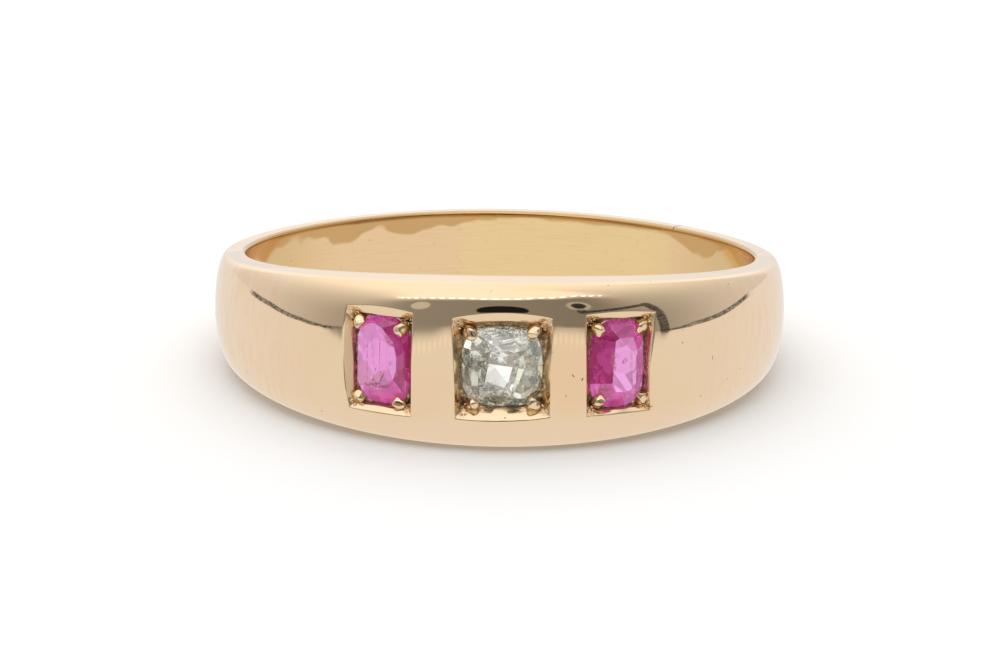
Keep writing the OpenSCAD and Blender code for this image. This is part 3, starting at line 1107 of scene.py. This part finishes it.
@dataclass(frozen=True)
class GoldFinish:
    """Old polished gold: rose in most of the band, yellower where a piece was let in at the back."""

    rose: tuple = colour(0.90, 0.69, 0.455)
    inside: tuple = colour(0.93, 0.66, 0.39)
    yellow: tuple = colour(0.93, 0.69, 0.36)
    ochre: tuple = colour(0.72, 0.50, 0.22)
    brown: tuple = colour(0.62, 0.36, 0.13)
    flush: tuple = colour(0.90, 0.64, 0.40)
    blush: tuple = colour(0.92, 0.715, 0.52)
    # The next three colours carry painted light: tan and the near-black one brown and blacken the hollows as
    # tarnish with painted shade, and the last is the bevels' painted highlight.
    tan: tuple = colour(0.50, 0.30, 0.125)
    soot_and_shade: tuple = colour(0.045, 0.022, 0.007)
    bright: tuple = colour(0.90, 0.66, 0.38)
    nicks: tuple[Spot, ...] = (
        Spot(12.7, -0.26, 0.018, 0.06, 40), Spot(14.4, -0.4, 0.022, 0.06, -25),
        Spot(42.7, -0.25, 0.012, 0.09, 8), Spot(31.3, 0.98, 0.04, 0.04),
        Spot(135.0, 1.42, 0.032, 0.24, -14), Spot(-6.0, -0.3, 0.015, 0.02), Spot(8.9, 1.62, 0.02, 0.02),
    )

    def make(self, lying: Lying) -> bpy.types.Material:
        """Builds the material.

        Args:
            lying: Where the ring lies, to work in the ring's own coordinates.

        Returns:
            The material.
        """
        material = bpy.data.materials.new("gold")
        material.use_nodes = True
        g = Graph(material.node_tree)
        ring, degrees, z, radius = ring_place(g, lying)
        turn = degrees * (math.pi / 180)
        aside = abs(degrees)
        inside = radius.rise(9.36, 9.24)
        grime_and_painted_light = g.signal("ShaderNodeAttribute", {"attribute_name": "grime_and_painted_light"}, {}, "Fac")
        mottle = g.noise(ring, 0.35, 3)
        fine = g.noise(ring, 6.0, 4)
        joint = degrees + mottle * 3
        insert = (joint.rise(136, 137) + joint.rise(-167.0, -173.0)).least(1.0)
        bore = g.blend(insert, self.inside, self.yellow)
        bore = g.blend(aside.rise(146, 112) * 0.8, bore, self.ochre)
        near = turn.math("COSINE") * 0.5 + 0.5
        below = near ** 2.04 * 1.6 + 1.3 - z
        wear = g.noise(g.vector(turn * 3, z * 0.4, radius), 1.3, 2).rise(0.3, 0.75)
        older = degrees.rise(-176, -165) * degrees.rise(141, 136)
        worn = (below - wear * (older * 0.45 + 0.2) - older * 0.08).rise(0.3, 0.14) * inside
        brushed = g.noise(g.vector(turn * 4, z * 26, radius), 1.0, 4)
        bore = g.blend((brushed.rise(0.5, 0.75) + fine.rise(0.62, 0.72)).least(1.0) * 0.3, bore, self.ochre)
        bore = g.blend(worn * 0.8, bore, self.brown)
        sides = aside.rise(26, 60) * (1 - aside.rise(95, 150) * 0.6) * (1 - inside)
        lines = g.noise(g.vector(turn * 46, z * 1.1, radius), 1.0, 3)
        warm = (((degrees - 12.5) / 6) ** 2 + (z / 1.6) * (z / 1.6)).rise(1.5, 0.0)
        outer = g.blend((warm + mottle.rise(0.4, 0.7) * 0.4).least(1.0) * 0.8, self.rose, self.flush)
        outer = g.blend((sides + z.rise(-1.4, -2.4) * 0.6).least(1.0), outer, self.blush)
        outer = g.blend(lines.rise(0.45, 0.7) * sides * 0.6, outer, self.flush)
        body = g.blend(inside, outer, bore)
        specks = g.signal("ShaderNodeTexVoronoi", {}, {"Vector": ring, "Scale": 1.4}, "Distance")
        specks = specks.rise(0.045, 0.03)
        dents = spotted(degrees, z, self.nicks, 0.5, 1.3).most(specks * (1 - inside * 0.4) * 0.6)
        # Painted light from the point value: below 0 a painted highlight that makes the bevel paler, rougher
        # and less metallic; above 0 tarnish with painted shade, joined by the real pits and nicks, which
        # browns and blackens the metal.
        painted_gleam = (grime_and_painted_light * -1).rise(0.0, 0.8)
        sooty_and_shaded = (grime_and_painted_light.most(0.0) * (fine.rise(0.35, 0.6) * 0.6 + 0.4) + dents).least(1.0)
        body = g.blend(painted_gleam, body, self.bright)
        body = g.blend(sooty_and_shaded.rise(0.02, 0.6) * 0.9, body, self.tan)
        body = g.blend(sooty_and_shaded.rise(0.45, 1.0) * 0.8, body, self.soot_and_shade)
        relief = lines * sides * 0.0003 + brushed * inside * 0.0006 + fine * sooty_and_shaded * 0.02 - dents * 0.02
        relief = relief + z * inside * 0.044
        bump = g.make("ShaderNodeBump", {}, {"Strength": 1.0, "Distance": 0.001, "Height": relief})
        rough = sooty_and_shaded ** 0.5 * 0.34 + inside * 0.1 + painted_gleam * 0.3 + 0.04
        metal = 1 - sooty_and_shaded.rise(0.3, 1.0) * 0.75 - painted_gleam * 0.6
        values = {"Base Color": body, "Metallic": metal, "Roughness": rough, "Normal": bump.outputs[0]}
        shader = g.make("ShaderNodeBsdfPrincipled", {}, values)
        g.make("ShaderNodeOutputMaterial", {}, {0: shader.outputs[0]})
        return material


@dataclass(frozen=True)
class GemFinish:
    """A clear polished stone with painted light: a pale painted highlight on the table and lit facets, vivid
    facets, deep painted shade on the others, and flaws in it.
    """

    name: str
    pale: tuple
    vivid: tuple
    deep: tuple
    flaw: tuple
    index: float
    clarity: float
    # Emission strength of a painted glow in the stone's own colour.
    painted_glow: float
    plates: float
    plate_mm: float
    flaws: tuple[Spot, ...]
    crumb_mm: float = 0.07

    def make(self, lying: Lying) -> bpy.types.Material:
        """Builds the material.

        Cells of random lean on the stone's underside break the light into plates, as many small facets
        do, and crumbs of noise within the given spots are its flaws.

        Args:
            lying: Where the ring lies.

        Returns:
            The material.
        """
        material = bpy.data.materials.new(self.name)
        material.use_nodes = True
        g = Graph(material.node_tree)
        ring, degrees, z, _ = ring_place(g, lying)
        tone = g.signal("ShaderNodeAttribute", {"attribute_name": "tone"}, {}, "Fac")
        below = g.signal("ShaderNodeAttribute", {"attribute_name": "below"}, {}, "Fac")
        crumbs = g.noise(ring, 1 / self.crumb_mm, 3, 0.5)
        flaws = crumbs.rise(0.45, 0.51) * spotted(degrees, z, self.flaws, 0.4, 1.6)
        # Painted light: facets blend from the pale painted highlight through vivid to the deep painted shade
        # by their facet value.
        body = g.blend(tone.rise(0.0, 0.4), self.pale, self.vivid)
        body = g.blend(tone.rise(0.45, 1.0), body, self.deep)
        cells = g.make("ShaderNodeTexVoronoi", {}, {"Vector": ring, "Scale": 1 / self.plate_mm})
        values = {0: cells.outputs["Color"], 1: (0.5, 0.5, 0.5)}
        lean = g.make("ShaderNodeVectorMath", {"operation": "SUBTRACT"}, values)
        settings, values = {"operation": "SCALE"}, {0: lean.outputs[0], "Scale": below * self.plates}
        lean = g.make("ShaderNodeVectorMath", settings, values)
        normal = g.make("ShaderNodeNewGeometry").outputs["Normal"]
        normal = g.make("ShaderNodeVectorMath", {"operation": "ADD"}, {0: normal, 1: lean.outputs[0]})
        normal = g.make("ShaderNodeVectorMath", {"operation": "NORMALIZE"}, {0: normal.outputs[0]})
        body = g.blend(flaws * 0.95, body, self.flaw)
        # The emission paints a glow of the stone's colour on it: painted light.
        values = {"Base Color": body, "Roughness": 0.0, "IOR": self.index,
                  "Transmission Weight": self.clarity, "Emission Color": body,
                  "Emission Strength": self.painted_glow, "Normal": normal.outputs[0]}
        shader = g.make("ShaderNodeBsdfPrincipled", {}, values)
        g.make("ShaderNodeOutputMaterial", {}, {0: shader.outputs[0]})
        return material


@dataclass(frozen=True)
class Stroke:
    """A narrow thing in the studio, from one direction to another, as azimuth and elevation in degrees."""

    start: tuple[float, float]
    end: tuple[float, float]
    half: float
    soft: float = 0.6


@dataclass(frozen=True)
class Studio:
    """The floor, the light all round and the camera's side of the room.

    Directions are azimuth, 0 towards the camera and 90 to the right, and elevation, in degrees.
    """

    dome: float = 1.2
    ground: float = 0.87
    floor_r: float = 0.6
    edge: tuple[tuple[float, float], ...] = (
        (-180, -2), (-130, -2.6), (-118, -3.1), (-107, -3.6), (-95, -6), (-88, -6.9), (-82, -8.5),
        (-75, -10.5), (-68, -10.3), (-50, -9.0), (-34, -7.8), (-27, -7.4), (-22, -6.9), (0, -6.6),
        (23, -6.5), (30, -6.9), (49, -8.5), (60, -9.7), (69, -10.1), (76, -8.9), (85, -5.9), (96, -4.6),
        (108, -3.3), (121, -1.6), (180, -1.6),
    )
    ceiling: tuple[tuple[float, float], ...] = (
        (-180, 2), (-150, 4), (-130, 22), (-115, 29), (-90, 27), (-52, 29), (-41, 33.7), (-36, 36),
        (-27, 38), (-20, 40), (0, 40.5), (12, 41), (20, 43), (28, 42), (36, 43), (43, 44), (52, 40.5),
        (57, 38), (68, 34), (80, 32), (107, 33), (130, 26), (150, 4), (180, 2),
    )
    cable: tuple[Stroke, ...] = (
        Stroke((35, 22), (35, 13), 1.8),
        Stroke((35, 13), (48, 14.8), 1.4),
        Stroke((48, 14.8), (66, 17.6), 1.4),
        Stroke((66, 17.6), (69, 8), 2.0),
        Stroke((69, 8), (69, -9), 2.0),
    )

    def light(self) -> None:
        """Builds the light all round: a white dome and ground, with a darker room in front.

        The room holds a lens, a row of small lamps above it, a cable and the edge of the table, and all
        of these show in the polished gold.
        """
        world = bpy.data.worlds.new("studio")
        world.use_nodes = True
        bpy.context.scene.world = world
        g = Graph(world.node_tree)
        way = g.make("ShaderNodeTexCoord").outputs["Generated"]
        x, y, z = g.split(way)
        azimuth = x.math("ARCTAN2", y * -1) * (180 / math.pi)
        elevation = z.math("ARCSINE") * (180 / math.pi)
        aside = abs(azimuth)
        above = elevation - g.curve(azimuth, self.edge)
        under = g.curve(azimuth, self.ceiling) - elevation
        sharp = (under / (aside * 0.1 + 1)).rise(-1.4, 1.2)
        haze = (elevation / (azimuth.rise(-60, 60) * 40 + 60)).rise(0, 1)
        room = sharp + (1 - haze - sharp) * aside.rise(42, 66) * aside.rise(150, 130)
        room = above.rise(-0.4, 0.5) * room
        dim = aside.rise(35, 130) * 0.5 + 0.27 - (azimuth * 0.0008).least(0.03).most(-0.03)
        level = above.rise(-0.3, 0.3) * (self.dome - self.ground) + self.ground
        level = level + (dim - level) * room
        low = aside.rise(74, 84)
        table = (abs(above + low * 0.85 - 0.5) - low * 0.45).rise(1.0, 0.4)
        table = table * (azimuth.rise(-58, -74) + azimuth.rise(64, 76))
        patchy = g.noise(way, 48, 3).rise(0.35, 0.62) * 0.3 + 0.55
        level = level * (1 - table * aside.rise(124, 119) * patchy)
        level = level * (1 - self.strokes(azimuth, elevation, self.cable) * above.rise(-0.3, 0.3) * patchy)
        level = self.equipment(level, azimuth, elevation, above)
        along = x / ((y * y + z * z) ** 0.5)
        cell = ((along / 0.0787).math("FRACT") - 0.5) / 0.3
        row = (under + 3.2) / 1.7
        dots = (cell * cell + row * row).rise(1.2, 0.5) * along.rise(-0.84, -0.8) * along.rise(0.8, 0.76)
        line = (row * row).rise(1.0, 0.2) * along.rise(-0.9, -0.86) * along.rise(-0.78, -0.84) * 0.3
        uneven = g.noise(g.vector(along * 9, 0, 0), 1.0, 1).rise(0.35, 0.6) * 2.4 + 0.9
        level = level + (dots + line) * aside.rise(85, 75) * uneven
        background = g.make("ShaderNodeBackground", {}, {0: colour(1.0, 0.99, 0.975), 1: level})
        g.make("ShaderNodeOutputWorld", {}, {0: background.outputs[0]})

    def equipment(self, level: Signal, azimuth: Signal, elevation: Signal, above: Signal) -> Signal:
        """Adds the lens, a pale disc, a knob with a bright ring, and short dashes on the table's edge.

        Args:
            level: The brightness so far.
            azimuth: The direction's azimuth.
            elevation: Its elevation.
            above: How far it lies above the table's edge.

        Returns:
            The new brightness.
        """
        lens = self.ellipse(azimuth, elevation, (0.6, 17.5), (11.5, 9.0)).rise(1.08, 0.92)
        level = level * (1 - lens * 0.95)
        disc = self.ellipse(azimuth, elevation, (-36.5, 22.0), (4.2, 6.8)).rise(1.2, 0.8)
        level = level + disc * 0.3
        knob = self.ellipse(azimuth, elevation, (35.5, 24.2), (3.4, 5.0))
        level = level + knob.rise(3.4, 1.8) * 0.25
        level = level * (1 - knob.rise(1.2, 0.8) * 0.9)
        stripe = ((azimuth / 2.1).math("FRACT") - 0.5) / 0.3
        dashes = (stripe * stripe).rise(1.0, 0.2) * above.rise(-1.1, -0.7) * above.rise(-0.1, -0.4)
        zone = azimuth.rise(-40, -35) * azimuth.rise(-8, -16) + azimuth.rise(17, 20) * azimuth.rise(38, 34)
        return level + dashes * zone * 0.12

    def ellipse(self, azimuth: Signal, elevation: Signal, middle: tuple, half: tuple) -> Signal:
        """Squared distance from an ellipse's middle, 1 on its outline."""
        u, v = (azimuth - middle[0]) / half[0], (elevation - middle[1]) / half[1]
        return u * u + v * v

    def strokes(self, azimuth: Signal, elevation: Signal, strokes: tuple[Stroke, ...]) -> Signal:
        """1 on the strokes and 0 off them, from the distance to each straight stroke."""
        total = None
        for s in strokes:
            ax, ay = s.end[0] - s.start[0], s.end[1] - s.start[1]
            length = ax * ax + ay * ay
            dx, dy = azimuth - s.start[0], elevation - s.start[1]
            t = ((dx * ax + dy * ay) / length).most(0.0).least(1.0)
            off_x, off_y = dx - t * ax, dy - t * ay
            mask = ((off_x * off_x + off_y * off_y) ** 0.5).rise(s.half + s.soft, s.half)
            total = mask if total is None else total.most(mask)
        return total

    def lamp(self) -> bpy.types.Object:
        """Makes the wide soft lamp overhead, which lights the floor but does not mirror in the gold."""
        data = bpy.data.lights.new("softbox", "AREA")
        data.shape = "DISK"
        data.size = 1.4
        data.energy = 3.0
        piece = bpy.data.objects.new("softbox", data)
        piece.location = (0, -0.1, 1.0)
        piece.visible_glossy = False
        piece.visible_transmission = False
        bpy.context.scene.collection.objects.link(piece)
        return piece

    def floor(self) -> bpy.types.Object:
        """Makes the plain pale floor. The gold mirrors the light all round instead of it."""
        turn = np.linspace(0, 2 * math.pi, 96, endpoint=False)
        radii = (0.02, 0.1, self.floor_r)
        rings = [np.stack([r * np.cos(turn), r * np.sin(turn), 0 * turn], -1) for r in radii]
        points = np.concatenate([np.zeros((1, 3)), *rings]) + np.array([0, 0, cad_box[0][2]])
        here, there = np.arange(96), np.roll(np.arange(96), -1)
        faces = np.stack([0 * here, here + 1, there + 1], -1).tolist()
        for ring in (0, 1):
            a, b = 1 + 96 * ring, 1 + 96 * (ring + 1)
            faces += np.stack([here + a, here + b, there + b, there + a], -1).tolist()
        data = bpy.data.meshes.new("floor")
        data.from_pydata(points.tolist(), [], faces)
        piece = bpy.data.objects.new("floor", data)
        bpy.context.scene.collection.objects.link(piece)
        material = bpy.data.materials.new("floor")
        material.use_nodes = True
        g = Graph(material.node_tree)
        values = {"Base Color": colour(0.9, 0.9, 0.9), "Roughness": 0.9, "Specular IOR Level": 0.0}
        shader = g.make("ShaderNodeBsdfPrincipled", {}, values)
        g.make("ShaderNodeOutputMaterial", {}, {0: shader.outputs[0]})
        data.materials.append(material)
        piece.visible_glossy = False
        piece.visible_transmission = False
        return piece


@dataclass(frozen=True)
class Shot:
    """The photograph's camera, as fitted to the ring's outline: angles in degrees, places in pixels."""

    distance: float = 0.2
    elevation: float = 12.71
    yaw: float = 0.63
    roll: float = 0.745
    focal_px: float = 5504.0
    image_w: int = 1000
    image_h: int = 666
    centre_px: tuple[float, float] = (499.4, 298.05)
    sensor_mm: float = 36.0

    def aim(self, lying: Lying) -> bpy.types.Object:
        """Makes the camera.

        It stands off the finger hole's middle at the fitted distance, and its middle line passes the
        hole's middle by the pixels that the photograph has between that point and its own middle.

        Args:
            lying: Where the ring lies.

        Returns:
            The camera.
        """
        e, f, r = (math.radians(a) for a in (self.elevation, self.yaw, self.roll))
        ahead = Vector((math.cos(e) * math.sin(f), math.cos(e) * math.cos(f), -math.sin(e)))
        right = Vector((math.cos(f), -math.sin(f), 0))
        up = Vector((math.sin(e) * math.sin(f), math.sin(e) * math.cos(f), math.cos(e)))
        level = right * math.cos(r) + up * math.sin(r)
        plumb = up * math.cos(r) - right * math.sin(r)
        off_x = self.image_w / 2 - self.centre_px[0]
        off_y = self.image_h / 2 - self.centre_px[1]
        middle = (ahead * self.focal_px + level * off_x - plumb * off_y).normalized()
        turn = lying.matrix().to_3x3()
        back = turn @ -middle
        side = (turn @ plumb).cross(back).normalized()
        top = back.cross(side)
        data = bpy.data.cameras.new("camera")
        data.sensor_width = self.sensor_mm
        data.lens = self.focal_px * self.sensor_mm / self.image_w
        data.clip_start = 0.005
        camera = bpy.data.objects.new("camera", data)
        bpy.context.scene.collection.objects.link(camera)
        pose = Matrix((side, top, back)).transposed().to_4x4()
        pose.translation = lying.centre - (turn @ ahead) * self.distance
        camera.matrix_world = pose
        bpy.context.scene.camera = camera
        return camera


# The last Side of each setting is the painted light on its bevels: painted shade above 0, a painted highlight
# below 0.
SETTINGS = (
    Setting(
        "diamond", 0.0, 2.78, 2.76,
        ((-1.6, -1.78), (1.68, -1.7), (1.71, 1.75), (-1.73, 1.72)),
        Side(0.08, 0.0, 0.23, 0.01), Side(0.36, 0.24, 0.28, 0.2),
        ((-0.96, -1.26), (1.06, -1.24), (1.07, 1.22), (-1.06, 1.16)), 11.0, 0.225,
        grime_and_painted_light=Side(0.14, 0.5, 0.0, 0.3)),
    Setting(
        "ruby_left", -22.6, 2.05, 3.08,
        ((-1.17, -1.76), (1.21, -1.82), (1.24, 1.82), (-1.3, 1.81)),
        Side(0.02, 0.0, 0.13, 0.16), Side(0.2, 0.13, 0.33, 0.3),
        ((-0.84, -1.34), (0.6, -1.43), (0.63, 1.1), (-0.83, 1.23)), 8.2, 0.23,
        slope=Side(0.7, 1.1, 0.42, 0.6), grime_and_painted_light=Side(0.06, 0.2, 0.06, -1.0)),
    Setting(
        "ruby_right", 21.7, 2.05, 3.08,
        ((-1.23, -1.72), (1.24, -1.72), (1.38, 1.7), (-1.29, 1.82)),
        Side(0.0, -0.1, 0.1, 0.02), Side(0.17, 0.11, 0.22, 0.16),
        ((-0.58, -1.27), (0.96, -1.25), (0.86, 1.19), (-0.68, 1.2)), 8.2, 0.23, (0.06, -0.03),
        slope=Side(0.7, 0.3, 0.42, 1.1), grime_and_painted_light=Side(0.06, -1.0, 0.06, 0.2)),
)

OLD_CUT = (
    Tier(8, 0.0, 36, 1.0, 0.03), Tier(8, 0.5, 25, 0.55, 0.53),
    Tier(8, 0.0, 40, 1.0, -0.03, True), Tier(4, 0.5, 36, 0.8, -0.2, True),
)
STEP_BACK = (
    Tier(8, 0.0, 54, 1.0, -0.03, True), Tier(8, 0.5, 47, 0.86, -0.2, True),
    Tier(8, 0.0, 39, 0.7, -0.42, True),
)
LEFT_CROWN = (
    Facet(180, 0.83), Facet(161, 1.05), Facet(184, 0.95, 0.3), Facet(90, 1.34), Facet(120, 1.33),
    Facet(62, 1.1), Facet(42, 0.87), Facet(14, 0.68), Facet(-1, 0.645), Facet(1, 0.78, 0.32),
    Facet(-22, 0.7), Facet(-46, 0.78), Facet(-72, 0.95), Facet(-98, 0.97), Facet(-122, 1.1), Facet(-150, 1.1),
)
RIGHT_CROWN = (
    Facet(176, 0.28), Facet(150, 0.62), Facet(122, 0.85), Facet(92, 0.95), Facet(58, 1.2), Facet(20, 0.75),
    Facet(-2, 0.6), Facet(4, 0.85, 0.28), Facet(-38, 0.85), Facet(-66, 0.98), Facet(-95, 0.95),
    Facet(-128, 0.9), Facet(-156, 0.55),
)
DIAMOND_FLAWS = (
    Spot(-3.1, -0.67, 0.5, 0.13, 8), Spot(-3.3, 0.17, 0.22, 0.12), Spot(1.9, 1.28, 0.75, 0.2),
    Spot(5.4, 0.67, 0.2, 0.35), Spot(0.3, -1.22, 0.75, 0.2),
    Spot(-6.2, 0.2, 0.2, 0.55), Spot(6.2, -0.5, 0.2, 0.5),
)
LEFT_FLAWS = (
    Spot(-23.6, -0.5, 0.03, 0.35, -15), Spot(-21.8, -0.45, 0.03, 0.3, -25), Spot(-25.0, 0.0, 0.02, 0.8),
    Spot(-22.5, 0.3, 0.015, 0.7), Spot(-24.0, 0.5, 0.012, 0.5), Spot(-19.2, 0.0, 0.02, 0.8),
    Spot(-18.3, -0.2, 0.02, 0.7), Spot(-23.2, -0.85, 0.5, 0.1), Spot(-20.3, 0.75, 0.3, 0.12, -40),
)
RIGHT_FLAWS = (
    Spot(22.6, 0.12, 0.13, 0.09, 30), Spot(20.5, 0.1, 0.08, 0.38, 5), Spot(25.3, -0.2, 0.06, 0.7),
    Spot(19.0, -1.0, 0.25, 0.3),
)


def dress(piece: bpy.types.Object, material: bpy.types.Material, node: str) -> None:
    """Gives a finished piece its material and body, and hides the node that it stands for."""
    piece.data.materials.append(material)
    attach(piece, BODY)
    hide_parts(node)
    log.info("%s: %d faces, %s", piece.name, len(piece.data.polygons), material.name)


def main() -> None:
    """Builds the ring, the studio and the camera."""
    logging.basicConfig(level=logging.INFO, format="%(name)s: %(message)s")
    lying = Lying.from_record(frame["record"])
    form = BandForm()
    gold = GoldFinish().make(lying)
    band = Band(form, SETTINGS).build().mesh("band_gold", lying)
    band.data.shade_smooth()
    band.data.set_sharp_from_angle(angle=math.radians(32))
    dress(band, gold, "band")
    cycles = bpy.context.scene.cycles
    cycles.max_bounces = cycles.transmission_bounces = 20
    cycles.glossy_bounces = 12
    # Each stone's pale, vivid and deep colours are lit, middle and shaded copies of one colour: painted
    # light.
    clear = GemFinish("diamond", colour(0.99, 0.98, 0.94), colour(0.97, 0.96, 0.88), colour(0.52, 0.53, 0.36),
                      colour(0.07, 0.08, 0.035), 2.42, 0.96, 0.035, 0.3, 0.6, DIAMOND_FLAWS).make(lying)
    pale, vivid, deep = colour(0.86, 0.41, 0.80), colour(0.78, 0.14, 0.50), colour(0.34, 0.015, 0.13)
    left = GemFinish("ruby_left", pale, vivid, deep, colour(0.30, 0.05, 0.18),
                     1.77, 0.75, 0.13, 0.12, 0.5, LEFT_FLAWS)
    right = GemFinish("ruby_right", pale, vivid, deep, colour(0.42, 0.10, 0.12),
                      1.77, 0.75, 0.13, 0.2, 0.5, RIGHT_FLAWS)
    # shade makes each stone's painted facet light darker towards one side.
    diamond = CutStone("diamond_cut", 2.78, 2.76, 0.53, -1.18, OLD_CUT, unevenness=0.07, shade=(0.3, 0.0),
                       spread=0.35, seed=6)
    dress(Gem(diamond, SETTINGS[0], form).build(lying), clear, "diamond")
    pairs = ((SETTINGS[1], LEFT_CROWN, (0.75, 0.25), left), (SETTINGS[2], RIGHT_CROWN, (-0.6, 0.55), right))
    for setting, crown, shade, finish in pairs:
        stone = CutStone(setting.name + "_cut", 2.05, 3.08, 0.43, -1.03, STEP_BACK, crown=crown,
                         shade=shade, seed=7)
        dress(Gem(stone, setting, form).build(lying), finish.make(lying), setting.name)
    studio = Studio()
    studio.light()
    studio.lamp()
    studio.floor()
    Shot().aim(lying)
    bpy.context.scene.view_settings.view_transform = "Standard"


if __name__ == "__main__":
    main()
